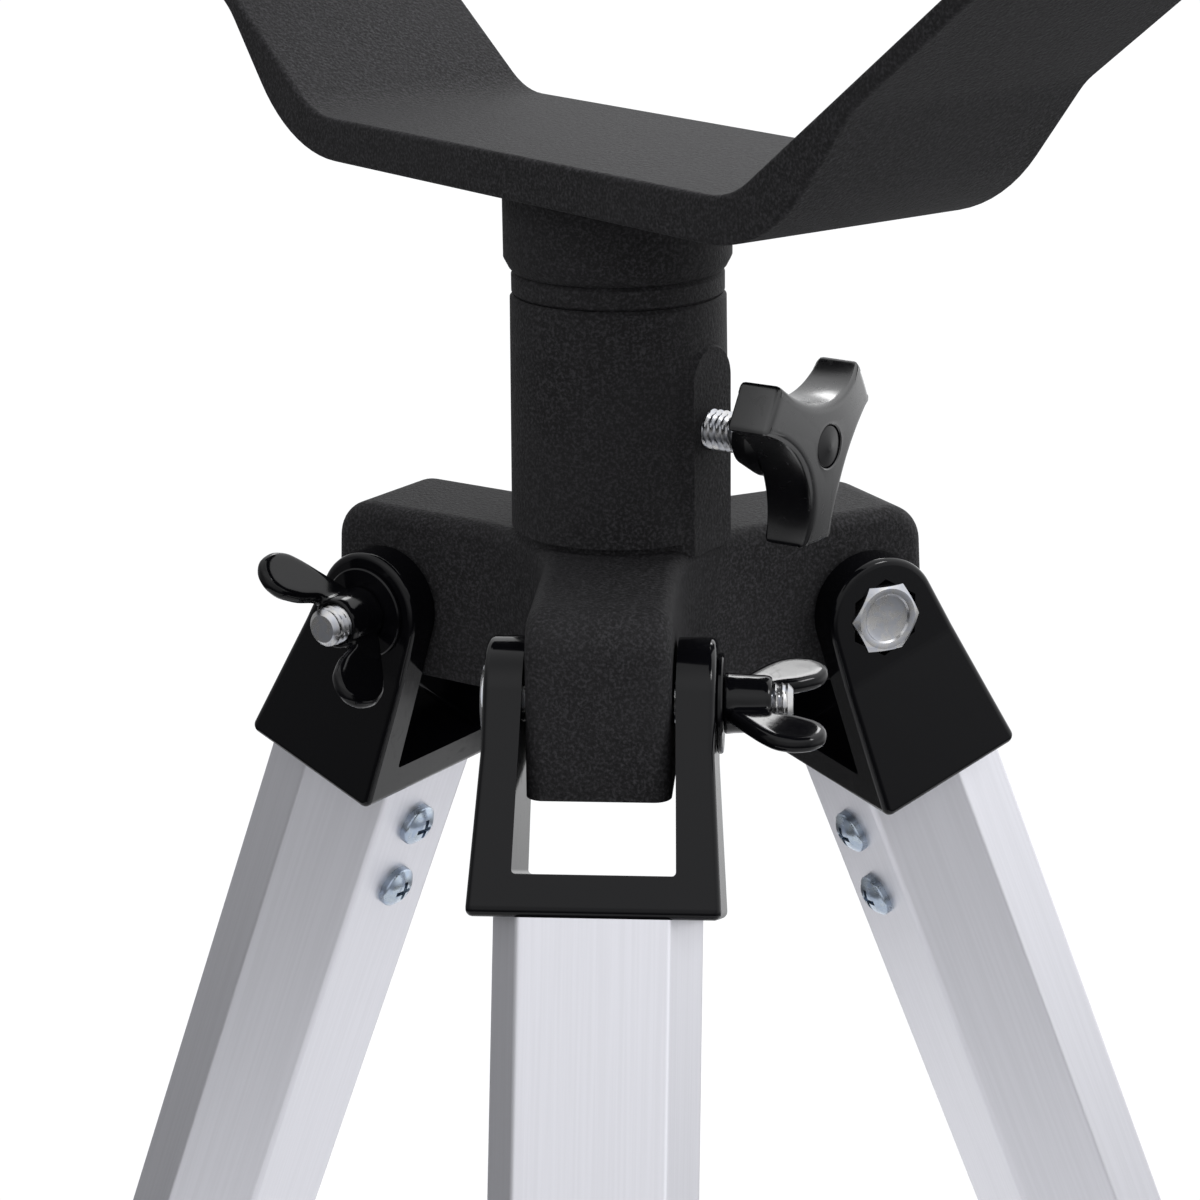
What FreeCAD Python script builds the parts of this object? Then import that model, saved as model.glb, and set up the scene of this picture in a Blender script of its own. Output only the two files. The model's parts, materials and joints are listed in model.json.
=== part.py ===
import FreeCAD, Part
import math
import os

from FreeCAD import Placement, Rotation, Vector

# Alt azimuth mount on a folding tripod, in millimetres.
# Frame: origin on the floor below the azimuth axis, +Z up, +X along the altitude axis.

# --- driving dimensions -------------------------------------------------------

LEG_COUNT = 3
FRONT_LEG_AZIMUTH = -41.3      # degrees from +X; the other legs follow every 120 degrees
LEG_TILT = 22.0                # degrees from vertical, legs spread
PIVOT_RADIUS = 36.24           # azimuth axis to leg hinge axis
FOOT_REACH = 668.0             # hinge axis to the middle of the sole, along the leg
PIVOT_HEIGHT = FOOT_REACH * math.cos(math.radians(LEG_TILT))

RUNNING_GAP = 0.05             # radial clearance of a running fit
SLIDE_GAP = 0.3                # clearance between sliding or neighbouring bodies

# heights in the head are counted from the leg hinge plane
LOBE_HALF_WIDTH = 10.0
LOBE_REACH = (47.6, 46.2)       # axis to the lobe's end, at its underside and at its top
LOBE_TOP = 15.0
LOBE_BOTTOM = -10.6
LOBE_SHOULDER = 6.0             # round of the top corner, seen from the side
LOBE_EDGE = 2.4
HUB_SWEEP = 25.0               # radius of the hollow wall between two lobes
COLUMN_FOOT = 16.0
COLUMN_TOP = 50.5
COLUMN_FOOT_RADIUS = 16.1
COLUMN_TOP_RADIUS = 15.75
EDGE_BREAK = 0.5

SPINDLE_RADIUS = 6.0
SPINDLE_FOOT = -4.3
SPINDLE_TOP = 69.0
BUSH_RADIUS = 10.0
UPPER_BUSH = (36.0, 50.0)
LOWER_BUSH = (-4.0, 8.0)
RING_RADIUS = 15.5
RING_TOP = 53.9
RETAINER_FOOT = SPINDLE_FOOT - 1.5
RETAINER_RADIUS = 9.0
RETAINER_HEAD = (4.2, 4.5)     # radius and height of the retaining screw's head
RETAINER_SOCKET = 4.0
SPINDLE_TAPPED_DEPTH = 15.0

COLLAR_BOTTOM = 54.0
COLLAR_EDGE = 55.0
COLLAR_RADIUS = 16.6
COLLAR_FOOT_RADIUS = 15.8
YOKE_BOTTOM = 66.08
YOKE_TOP = 72.64
STRAP_WIDTH = 40.3
ARM_SLOPE = 36.0               # degrees above level
FLANK_SLOPE = 51.0
FLANK_KNEE = (73.2, 86.2)      # where the flank eases into the sloping arm
ARM_THICKNESS = 2.8
ARM_OUTER = 102.0              # outer face of the upright arm
ALTITUDE_HEIGHT = 150.0
STRAP_EDGE = 0.7

M5_RADIUS = 2.5
M6_RADIUS = 3.0
M8_RADIUS = 4.0
M6_HEAD_FLATS = 10.0
M6_HEAD_HEIGHT = 4.0

LOCK_HEIGHT = 32.0             # azimuth lock axis above the hinge plane
LOCK_PAD_FACE = 16.2
LOCK_PAD_HALF_WIDTH = 4.9
LOCK_PAD_TOP = 44.0
LOCK_PAD_SPREAD = 2.5          # how much wider the pad is inside the column
LOCK_PAD_ROOT = 12.5
LOCK_KNOB_FOOT = 22.0
LOCK_KNOB_TURN = -3.0
LOCK_KNOB = {"reach": 14.4, "hub_radius": 5.5, "height": 13.8, "bore_radius": M6_RADIUS,
             "cap_radius": 3.05}

ALTITUDE_NECK = 4.5
ALTITUDE_PIN_TIP = 80.0
ALTITUDE_PIN_END = 96.0
ALTITUDE_WASHER = (12.0, 1.6)  # radius and thickness
ALTITUDE_KNOB_TURN = 30.0
ALTITUDE_KNOB = {"reach": 19.0, "hub_radius": 8.0, "height": 18.0,
                 "bore_radius": ALTITUDE_NECK, "cap_radius": 5.0}
WASHER_GAP = 0.1
PIN_BREAK = 0.6

CHEEK_GAP = (10.5, 11.1)       # half gap of the bracket at the hinge and at its foot
CHEEK_OUTER = (15.9, 17.3)     # half width of the bracket at the hinge and at its foot
CHEEK_ROUND = 9.1
CHEEK_SEAT = 7.6               # the cheek stays flat this far below the hinge
CHEEK_EDGE = 1.0
BRACKET_FOOT = 29.8            # hinge axis to the bracket's shoulder
BRACKET_CORNER = 1.3
WINDOW_CORNER = 0.6
HEAD_POCKET = 3.2              # depth of the hexagonal pocket for the bolt's head
POCKET_GAP = 0.2
BRACKET_WEB = 24.0
BRACKET_INNER = -11.8
BRACKET_OUTER = 13.1
PLUG_DEPTH = 28.0

# half outline of the leg tube, from its inner face (towards the axis) to its outer face
TUBE_OUTLINE = ((-11.0, 10.5), (3.0, 14.5), (12.6, 10.3))
TUBE_WALL = 1.4
UPPER_END = 560.0
LOWER_START = 80.0
LOWER_END = 650.0
LOWER_INSET = 2.0
LOWER_WALL = 1.3
SCREW_STATIONS = (39.0, 51.6)
SCREW_SHANK = 1.75
SCREW_HEAD_RADIUS = 3.5

HOUSING_START = 535.0
HOUSING_END = 592.0
HOUSING_WALL = 2.8
LOCK_STATION = 577.0
LOCK_BOSS_RADIUS = 7.5
LOCK_BOSS_FACE = 22.0
LOCK_NUT_FLATS = 8.0
LOCK_NUT_THICKNESS = 4.0
LEG_KNOB_FOOT = 23.0
LEG_KNOB_TURN = 60.0
LEG_KNOB = {"reach": 12.5, "hub_radius": 4.8, "height": 12.0, "bore_radius": M5_RADIUS,
            "cap_radius": 2.6}

FOOT_START = 632.0
FOOT_SKIRT = (0.8, 3.2)        # how far the foot stands out of the leg, top and bottom
GUIDE_HEAD = 12.0
GUIDE_PLUG = 20.0

# star knobs, as shares of their reach or height
ARM_TIP_SHARE = 0.26
ARM_WAIST_SHARE = 0.43
ARM_FOOT_SHARE = 0.385
ARM_TOP_SHARE = 0.88
BORE_SHARE = 0.8
HUB_FLARE_SHARE = 0.2
CAP_SEAT_DEPTH = 1.4

WASHER_RADIUS = 7.0
WASHER_THICKNESS = 0.8
BOLT_TIP = 26.3
NUT_HUB = (4.2, 3.9, 6.7)      # radius at the foot, radius at the top, height
WING_HALF_THICKNESS = 1.0
NUT_TURNS = (6.0, -30.0, -47.0)   # how far each wing nut is turned, in degrees

LEG_AZIMUTHS = [FRONT_LEG_AZIMUTH + 360.0 / LEG_COUNT * i for i in range(LEG_COUNT)]
LOCK_AZIMUTH = FRONT_LEG_AZIMUTH + 180.0 / LEG_COUNT

X_AXIS = Vector(1, 0, 0)
Y_AXIS = Vector(0, 1, 0)
Z_AXIS = Vector(0, 0, 1)


# --- helpers ------------------------------------------------------------------

def place(shape, placement):
    """A copy of the shape moved by a placement."""
    moved = shape.copy()
    moved.Placement = placement.multiply(moved.Placement)
    return moved


def on_head(shape):
    """Lift a shape drawn from the hinge plane to its height above the floor."""
    return place(shape, Placement(Vector(0, 0, PIVOT_HEIGHT), Rotation()))


def hinge_frame(azimuth):
    """x outward, y along the hinge axis, z up, origin on the hinge axis."""
    turn = Placement(Vector(0, 0, PIVOT_HEIGHT), Rotation(Z_AXIS, azimuth))
    return turn.multiply(Placement(Vector(PIVOT_RADIUS, 0, 0), Rotation()))


def leg_frame(azimuth):
    """The hinge frame swung by the leg's tilt: z runs up the leg."""
    return hinge_frame(azimuth).multiply(Placement(Vector(), Rotation(Y_AXIS, -LEG_TILT)))


def pointing(base, direction):
    """Frame with its z axis along a direction."""
    return Placement(base, Rotation(Z_AXIS, direction))


def turned_up(height, angle):
    """Placement lifted along z and turned about it."""
    return Placement(Vector(0, 0, height), Rotation(Z_AXIS, angle))


def rounded_wire(corners, to_point):
    """Closed wire through (a, b, radius) corners, each corner turned by a tangent arc."""
    points = [Vector(a, b, 0) for a, b, _ in corners]
    edges = []
    first = last = None
    count = len(points)
    for i, (_, _, radius) in enumerate(corners):
        here = points[i]
        back = (points[i - 1] - here).normalize()
        ahead = (points[(i + 1) % count] - here).normalize()
        if radius > 0:
            half = math.acos(max(-1.0, min(1.0, back.dot(ahead)))) / 2
            run = radius / math.tan(half)
            inward = (back + ahead).normalize()
            middle = here + inward * (radius / math.sin(half) - radius)
            start, stop = here + back * run, here + ahead * run
            piece = Part.Arc(to_point(start), to_point(middle), to_point(stop)).toShape()
        else:
            start = stop = here
            piece = None
        if last is None:
            first = start
        elif (start - last).Length > 1e-7:
            edges.append(Part.LineSegment(to_point(last), to_point(start)).toShape())
        if piece:
            edges.append(piece)
        last = stop
    if (first - last).Length > 1e-7:
        edges.append(Part.LineSegment(to_point(last), to_point(first)).toShape())
    return Part.Wire(Part.__sortEdges__(edges))


def plate_xy(corners, bottom, top):
    """Outline in plan, extruded upwards."""
    face = Part.Face(rounded_wire(corners, lambda p: Vector(p.x, p.y, bottom)))
    return face.extrude(Vector(0, 0, top - bottom))


def plate_xz(corners, half_width):
    """Outline seen from the side, extruded evenly both ways along y."""
    face = Part.Face(rounded_wire(corners, lambda p: Vector(p.x, -half_width, p.y)))
    return face.extrude(Vector(0, 2 * half_width, 0))


def plate_yz(corners, low, high):
    """Outline in the y-z plane, extruded along x."""
    face = Part.Face(rounded_wire(corners, lambda p: Vector(low, p.x, p.y)))
    return face.extrude(Vector(high - low, 0, 0))


def rod(radius, bottom, top, bevel=0.0):
    """Cylinder on the z axis with a bevelled top edge."""
    solid = Part.makeCylinder(radius, top - bottom, Vector(0, 0, bottom))
    if bevel:
        rim = [e for e in solid.Edges if e.Closed and abs(e.CenterOfMass.z - top) < 1e-6]
        solid = solid.makeChamfer(bevel, rim)
    return solid


def ring(outer, inner, bottom, top, bevel=0.0):
    """Flat ring on the z axis, both outer edges bevelled."""
    profile = [(inner, bottom, 0), (outer - bevel, bottom, 0), (outer, bottom + bevel, 0),
               (outer, top - bevel, 0), (outer - bevel, top, 0), (inner, top, 0)]
    return turned([p for i, p in enumerate(profile) if bevel or i not in (1, 4)])


def turned(profile):
    """Solid turned about the z axis from (radius, height, corner radius) points."""
    face = Part.Face(rounded_wire(profile, lambda p: Vector(p.x, 0, p.y)))
    return face.revolve(Vector(), Z_AXIS, 360)


def hexagon(across_flats, bottom, top):
    """Hexagonal prism on the z axis."""
    reach = across_flats / math.sqrt(3)
    corners = [(reach * math.cos(math.radians(60 * i + 30)),
                reach * math.sin(math.radians(60 * i + 30)), 0) for i in range(6)]
    return plate_xy(corners, bottom, top)


def hex_nut_blank(across_flats, bottom, top):
    """Hexagonal prism whose outer corners are turned down at 30 degrees."""
    reach = across_flats / math.sqrt(3)
    drop = (reach - across_flats / 2) * math.tan(math.radians(30))
    cone = turned([(0, bottom, 0), (reach, bottom, 0), (reach, top - drop, 0),
                   (across_flats / 2, top, 0), (0, top, 0)])
    return hexagon(across_flats, bottom, top).common(cone)


def tube_corners(inset, corner_radius=1.0):
    """The leg's six-sided outline, moved inwards by an inset."""
    half = [Vector(x, y, 0) for x, y in TUBE_OUTLINE]
    loop = half + [Vector(p.x, -p.y, 0) for p in reversed(half)]
    count = len(loop)
    corners = []
    for i, here in enumerate(loop):
        back = (loop[i - 1] - here).normalize()
        ahead = (loop[(i + 1) % count] - here).normalize()
        half_angle = math.acos(back.dot(ahead)) / 2
        inner = here + (back + ahead).normalize() * (inset / math.sin(half_angle))
        corners.append((inner.x, inner.y, corner_radius))
    return corners


def tube_bar(inset, start, stop, corner_radius=1.0):
    """Solid bar of the leg's outline between two stations down the leg."""
    return plate_xy(tube_corners(inset, corner_radius), -stop, -start)


def star_knob(reach, hub_radius, height, bore_radius, cap_radius):
    """Three-arm knob on the z axis, its hub foot at z = 0, with a seat for a cap."""
    arm_foot = ARM_FOOT_SHARE * height
    arm_top = ARM_TOP_SHARE * height
    edges = []
    for angle in (0.0, 120.0, 240.0):
        turn, next_turn = Rotation(Z_AXIS, angle), Rotation(Z_AXIS, angle + 120)
        tip_start = turn.multVec(Vector(reach, -ARM_TIP_SHARE * reach, arm_foot))
        tip_end = turn.multVec(Vector(reach, ARM_TIP_SHARE * reach, arm_foot))
        next_start = next_turn.multVec(Vector(reach, -ARM_TIP_SHARE * reach, arm_foot))
        waist = Rotation(Z_AXIS, angle + 60).multVec(Vector(ARM_WAIST_SHARE * reach, 0, arm_foot))
        edges.append(Part.LineSegment(tip_start, tip_end).toShape())
        edges.append(Part.Arc(tip_end, waist, next_start).toShape())
    star = Part.Face(Part.Wire(edges)).extrude(Vector(0, 0, height - arm_foot))
    crown = turned([(0, 0, 0), (reach * 1.2, 0, 0), (reach * 1.2, arm_top - 0.04 * reach, 0),
                    (reach, arm_top, 0), (0.5 * reach, height - 0.2, 0.3 * reach),
                    (0, height, 0)])
    hub = turned([(0, 0, 0), (0.78 * hub_radius, 0, 0), (hub_radius, HUB_FLARE_SHARE * height, 0),
                  (hub_radius, arm_foot + 1, 0), (0, arm_foot + 1, 0)])
    bore = rod(bore_radius, -1, BORE_SHARE * height)
    seat = rod(cap_radius + RUNNING_GAP, height - CAP_SEAT_DEPTH, height + 1)
    return star.common(crown).fuse(hub).cut(bore).cut(seat).removeSplitter()


def knob_cap(height, cap_radius):
    """Round cap pressed into the knob's face."""
    seat_floor = height - CAP_SEAT_DEPTH
    return turned([(0, seat_floor, 0), (cap_radius, seat_floor, 0),
                   (cap_radius, height - 0.35, 0.3), (0, height + 0.15, 0)])


def solids_only(shape):
    """Drop the compound wrapper around one solid."""
    return shape.Solids[0] if len(shape.Solids) == 1 else shape


# --- tripod head --------------------------------------------------------------

def tripod_head():
    """Cast head: column, three lobes and the flat pad for the azimuth lock."""
    corners = []
    vertex = LOBE_HALF_WIDTH / math.sin(math.radians(60))
    for azimuth in LEG_AZIMUTHS:
        turn = Rotation(Z_AXIS, azimuth)
        for side in (-1, 1):
            tip = turn.multVec(Vector(LOBE_REACH[0], side * LOBE_HALF_WIDTH, 0))
            corners.append((tip.x, tip.y, 0))
        hollow = Rotation(Z_AXIS, azimuth + 60).multVec(Vector(vertex, 0, 0))
        corners.append((hollow.x, hollow.y, HUB_SWEEP))
    lobes = plate_xy(corners, LOBE_BOTTOM, LOBE_TOP)
    foot, top = LOBE_REACH
    profile = plate_xz([(-COLUMN_FOOT_RADIUS, LOBE_BOTTOM, 0), (foot, LOBE_BOTTOM, 0),
                        (top, LOBE_TOP, LOBE_SHOULDER), (-COLUMN_FOOT_RADIUS, LOBE_TOP, 0)],
                       2 * LOBE_HALF_WIDTH)
    profiles = [place(profile, Placement(Vector(), Rotation(Z_AXIS, a))) for a in LEG_AZIMUTHS]
    lobes = lobes.common(profiles[0].fuse(profiles[1:])).removeSplitter()
    lobes = lobes.makeFillet(LOBE_EDGE, [e for e in lobes.Edges if on_lobe_edge(e)])

    column = turned([(0, LOBE_BOTTOM, 0), (COLUMN_TOP_RADIUS - 0.6, LOBE_BOTTOM, 0),
                     (COLUMN_TOP_RADIUS - 0.6, COLUMN_FOOT, 0), (COLUMN_FOOT_RADIUS, COLUMN_FOOT, 0),
                     (COLUMN_TOP_RADIUS, COLUMN_TOP - EDGE_BREAK, 0),
                     (COLUMN_TOP_RADIUS - EDGE_BREAK, COLUMN_TOP, 0), (0, COLUMN_TOP, 0)])
    head = lobes.fuse(column).fuse(lock_pad())
    head = head.cut(rod(BUSH_RADIUS, LOBE_BOTTOM - 1, COLUMN_TOP + 1))
    lock_hole = place(rod(M6_RADIUS + RUNNING_GAP, 5, 25),
                      pointing(Vector(0, 0, LOCK_HEIGHT), X_AXIS))
    head = head.cut(place(lock_hole, Placement(Vector(), Rotation(Z_AXIS, LOCK_AZIMUTH))))
    head = on_head(head)
    for azimuth in LEG_AZIMUTHS:
        hole = place(rod(M6_RADIUS + RUNNING_GAP, -20, 20), pointing(Vector(), Y_AXIS))
        head = head.cut(place(hole, hinge_frame(azimuth)))
    return head.removeSplitter()


def on_lobe_edge(edge):
    """True for an edge along a lobe's side wall, over its shoulder and down its end."""
    if all(abs(v.Z - LOBE_BOTTOM) < 1e-6 for v in edge.Vertexes):
        return False
    tangent = edge.tangentAt(edge.FirstParameter)
    if isinstance(edge.Curve, Part.Line) and abs(tangent.z) > 0.9999:
        return False
    across = [Rotation(Z_AXIS, a).multVec(Y_AXIS) for a in LEG_AZIMUTHS]
    return not any(isinstance(edge.Curve, Part.Line) and abs(tangent.dot(y)) > 0.9999
                   for y in across)


def lock_pad():
    """Round-topped flat on the column, its sides easing into the round wall."""
    def outline(depth, half_width, top):
        shoulder = top - half_width
        return Part.Wire([
            Part.LineSegment(Vector(depth, -half_width, COLUMN_FOOT - 2),
                             Vector(depth, half_width, COLUMN_FOOT - 2)).toShape(),
            Part.LineSegment(Vector(depth, half_width, COLUMN_FOOT - 2),
                             Vector(depth, half_width, shoulder)).toShape(),
            Part.Arc(Vector(depth, half_width, shoulder), Vector(depth, 0, top),
                     Vector(depth, -half_width, shoulder)).toShape(),
            Part.LineSegment(Vector(depth, -half_width, shoulder),
                             Vector(depth, -half_width, COLUMN_FOOT - 2)).toShape()])
    pad = Part.makeLoft([outline(LOCK_PAD_ROOT, LOCK_PAD_HALF_WIDTH + LOCK_PAD_SPREAD,
                                 LOCK_PAD_TOP + LOCK_PAD_SPREAD),
                         outline(LOCK_PAD_FACE, LOCK_PAD_HALF_WIDTH, LOCK_PAD_TOP)], True, True)
    return place(pad, Placement(Vector(), Rotation(Z_AXIS, LOCK_AZIMUTH)))


# --- azimuth fork -------------------------------------------------------------

def crosses_strap(edge):
    """True for an edge that runs straight across the strap's width."""
    ends = [v.Y for v in edge.Vertexes]
    straight = isinstance(edge.Curve, (Part.Line, Part.LineSegment))
    return straight and abs(edge.tangentAt(edge.FirstParameter).y) > 0.999 and len(ends) == 2


def fork_yoke():
    """Bent strap with two arms, and the collar that turns on the column."""
    slope = math.tan(math.radians(ARM_SLOPE))
    knee_x, knee_z = FLANK_KNEE
    lift = ARM_THICKNESS / math.cos(math.radians(ARM_SLOPE))
    foot_x = knee_x - (knee_z - YOKE_BOTTOM) / math.tan(math.radians(FLANK_SLOPE))
    inner_x = knee_x - (knee_z + lift - YOKE_TOP) / slope
    arm_inner = ARM_OUTER - ARM_THICKNESS
    top = ALTITUDE_HEIGHT + STRAP_WIDTH / 2
    right = [(foot_x, YOKE_BOTTOM, 26.0), (knee_x, knee_z, 12.0),
             (ARM_OUTER, knee_z + (ARM_OUTER - knee_x) * slope, 16.0), (ARM_OUTER, top, 0),
             (arm_inner, top, 0), (arm_inner, knee_z + lift + (arm_inner - knee_x) * slope, 12.0),
             (inner_x, YOKE_TOP, 14.0)]
    left = [(-x, z, r) for x, z, r in reversed(right)]
    strap = plate_xz(right + left, STRAP_WIDTH / 2)
    half = STRAP_WIDTH / 2
    tip_round = Part.Face(Part.Wire([
        Part.LineSegment(Vector(-ARM_OUTER - 5, -half, 0), Vector(-ARM_OUTER - 5, half, 0)).toShape(),
        Part.LineSegment(Vector(-ARM_OUTER - 5, half, 0),
                         Vector(-ARM_OUTER - 5, half, ALTITUDE_HEIGHT)).toShape(),
        Part.Arc(Vector(-ARM_OUTER - 5, half, ALTITUDE_HEIGHT), Vector(-ARM_OUTER - 5, 0, top),
                 Vector(-ARM_OUTER - 5, -half, ALTITUDE_HEIGHT)).toShape(),
        Part.LineSegment(Vector(-ARM_OUTER - 5, -half, ALTITUDE_HEIGHT),
                         Vector(-ARM_OUTER - 5, -half, 0)).toShape()]))
    strap = strap.common(tip_round.extrude(Vector(2 * ARM_OUTER + 10, 0, 0)))
    strap = strap.makeFillet(STRAP_EDGE, [e for e in strap.Edges if not crosses_strap(e)])
    collar = turned([(0, COLLAR_BOTTOM, 0), (COLLAR_FOOT_RADIUS - EDGE_BREAK, COLLAR_BOTTOM, 0),
                     (COLLAR_FOOT_RADIUS, COLLAR_BOTTOM + EDGE_BREAK, 0),
                     (COLLAR_RADIUS, COLLAR_EDGE + 1.0, 0.8), (COLLAR_RADIUS, YOKE_BOTTOM + 1, 0),
                     (0, YOKE_BOTTOM + 1, 0)])
    yoke = strap.fuse(collar).cut(rod(SPINDLE_RADIUS, COLLAR_BOTTOM - 1, SPINDLE_TOP))
    hole = rod(ALTITUDE_NECK + RUNNING_GAP, -ARM_OUTER - 5, ARM_OUTER + 5)
    yoke = yoke.cut(place(hole, pointing(Vector(0, 0, ALTITUDE_HEIGHT), X_AXIS)))
    return on_head(yoke.removeSplitter())


def azimuth_spindle():
    """Steel spindle pressed into the collar, tapped at its lower end."""
    body = turned([(0, SPINDLE_FOOT, 0), (SPINDLE_RADIUS - EDGE_BREAK, SPINDLE_FOOT, 0),
                   (SPINDLE_RADIUS, SPINDLE_FOOT + EDGE_BREAK, 0), (SPINDLE_RADIUS, SPINDLE_TOP, 0),
                   (0, SPINDLE_TOP, 0)])
    tapped = rod(M5_RADIUS, SPINDLE_FOOT - 1, SPINDLE_FOOT + SPINDLE_TAPPED_DEPTH)
    return on_head(body.cut(tapped))


def retaining_screw():
    """Socket-head screw in the spindle's lower end."""
    radius, height = RETAINER_HEAD
    head_foot = RETAINER_FOOT - height
    head = turned([(0, head_foot, 0), (radius - EDGE_BREAK, head_foot, 0),
                   (radius, head_foot + EDGE_BREAK, 0), (radius, RETAINER_FOOT, 0),
                   (0, RETAINER_FOOT, 0)])
    socket = hexagon(RETAINER_SOCKET, head_foot - 1, head_foot + 0.5 * height)
    shank = rod(M5_RADIUS, RETAINER_FOOT, SPINDLE_FOOT + SPINDLE_TAPPED_DEPTH - 3)
    return on_head(head.fuse(shank).cut(socket).removeSplitter())


# --- locks and altitude knobs -------------------------------------------------

def azimuth_lock_pieces():
    """Knob, stud and cap that clamp the spindle from the side of the column."""
    frame = Placement(Vector(0, 0, PIVOT_HEIGHT + LOCK_HEIGHT), Rotation(Z_AXIS, LOCK_AZIMUTH))
    frame = frame.multiply(pointing(Vector(), X_AXIS))
    knob_spot = frame.multiply(turned_up(LOCK_KNOB_FOOT, LOCK_KNOB_TURN))
    stud = rod(M6_RADIUS, SPINDLE_RADIUS + SLIDE_GAP,
               LOCK_KNOB_FOOT + BORE_SHARE * LOCK_KNOB["height"])
    return {"azimuth_lock_knob": place(star_knob(**LOCK_KNOB), knob_spot),
            "azimuth_lock_stud": place(stud, frame),
            "azimuth_lock_cap": place(knob_cap(LOCK_KNOB["height"], LOCK_KNOB["cap_radius"]),
                                      knob_spot)}


def altitude_pieces(side, name):
    """Knob, shouldered stud, cap and outer washer at one arm's tip."""
    frame = pointing(Vector(0, 0, PIVOT_HEIGHT + ALTITUDE_HEIGHT), X_AXIS * side)
    washer_radius, washer_thickness = ALTITUDE_WASHER
    washer_foot = ARM_OUTER + WASHER_GAP
    knob_foot = washer_foot + washer_thickness
    knob_spot = frame.multiply(turned_up(knob_foot, ALTITUDE_KNOB_TURN))
    stud_top = knob_foot + BORE_SHARE * ALTITUDE_KNOB["height"]
    stud = turned([(0, ALTITUDE_PIN_TIP, 0), (M8_RADIUS - PIN_BREAK, ALTITUDE_PIN_TIP, 0),
                   (M8_RADIUS, ALTITUDE_PIN_TIP + PIN_BREAK, 0), (M8_RADIUS, ALTITUDE_PIN_END, 0),
                   (ALTITUDE_NECK, ALTITUDE_PIN_END, 0), (ALTITUDE_NECK, stud_top, 0),
                   (0, stud_top, 0)])
    washer = ring(washer_radius, ALTITUDE_NECK, washer_foot, knob_foot, 0.3)
    cap = knob_cap(ALTITUDE_KNOB["height"], ALTITUDE_KNOB["cap_radius"])
    return {f"altitude_knob_{name}": place(star_knob(**ALTITUDE_KNOB), knob_spot),
            f"altitude_stud_{name}": place(stud, frame),
            f"altitude_washer_{name}": place(washer, frame),
            f"altitude_cap_{name}": place(cap, knob_spot)}


# --- leg hinge ----------------------------------------------------------------

def pivot_bolt():
    """Hex-head bolt through bracket and lobe, in the leg frame, its head in the pocket."""
    seat = CHEEK_OUTER[0] - HEAD_POCKET
    head = place(hex_nut_blank(M6_HEAD_FLATS, 0, M6_HEAD_HEIGHT), head_spot(seat))
    shank = place(rod(M6_RADIUS, -seat, BOLT_TIP, EDGE_BREAK), pointing(Vector(), Y_AXIS))
    return head.fuse(shank).removeSplitter()


def head_spot(seat):
    """Frame of the bolt's head in the leg frame: z outwards, a corner upright at rest."""
    return pointing(Vector(0, -seat, 0), Vector(0, -1, 0)).multiply(turned_up(0, -LEG_TILT))


def pivot_washer():
    """Plain washer under the wing nut, in the leg frame."""
    start = CHEEK_OUTER[0] + RUNNING_GAP
    flat = ring(WASHER_RADIUS, M6_RADIUS, start, start + WASHER_THICKNESS, 0.2)
    return place(flat, pointing(Vector(), Y_AXIS))


def wing_nut(turn):
    """Moulded wing nut: slim hub and two swept round wings, in the hinge frame."""
    foot_radius, top_radius, height = NUT_HUB
    hub = turned([(0, 0, 0), (foot_radius, 0, 0), (top_radius, height, 0.5), (0, height, 0)])
    wing = [(2.5, 0.4, 0), (4.6, 0.4, 2.0), (14.2, 7.3, 4.2), (14.2, 14.4, 4.2), (5.6, 14.4, 4.2),
            (4.6, 6.6, 1.5), (2.5, 6.6, 0)]
    ears = plate_xz(wing, WING_HALF_THICKNESS)
    ears = ears.fuse(place(ears, Placement(Vector(), Rotation(Z_AXIS, 180))))
    nut = hub.fuse(ears).cut(rod(M6_RADIUS + RUNNING_GAP, -1, height + 1)).removeSplitter()
    base = CHEEK_OUTER[0] + RUNNING_GAP + WASHER_THICKNESS + RUNNING_GAP
    return place(nut, pointing(Vector(0, base, 0), Y_AXIS).multiply(turned_up(0, turn)))


# --- legs ---------------------------------------------------------------------

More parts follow.
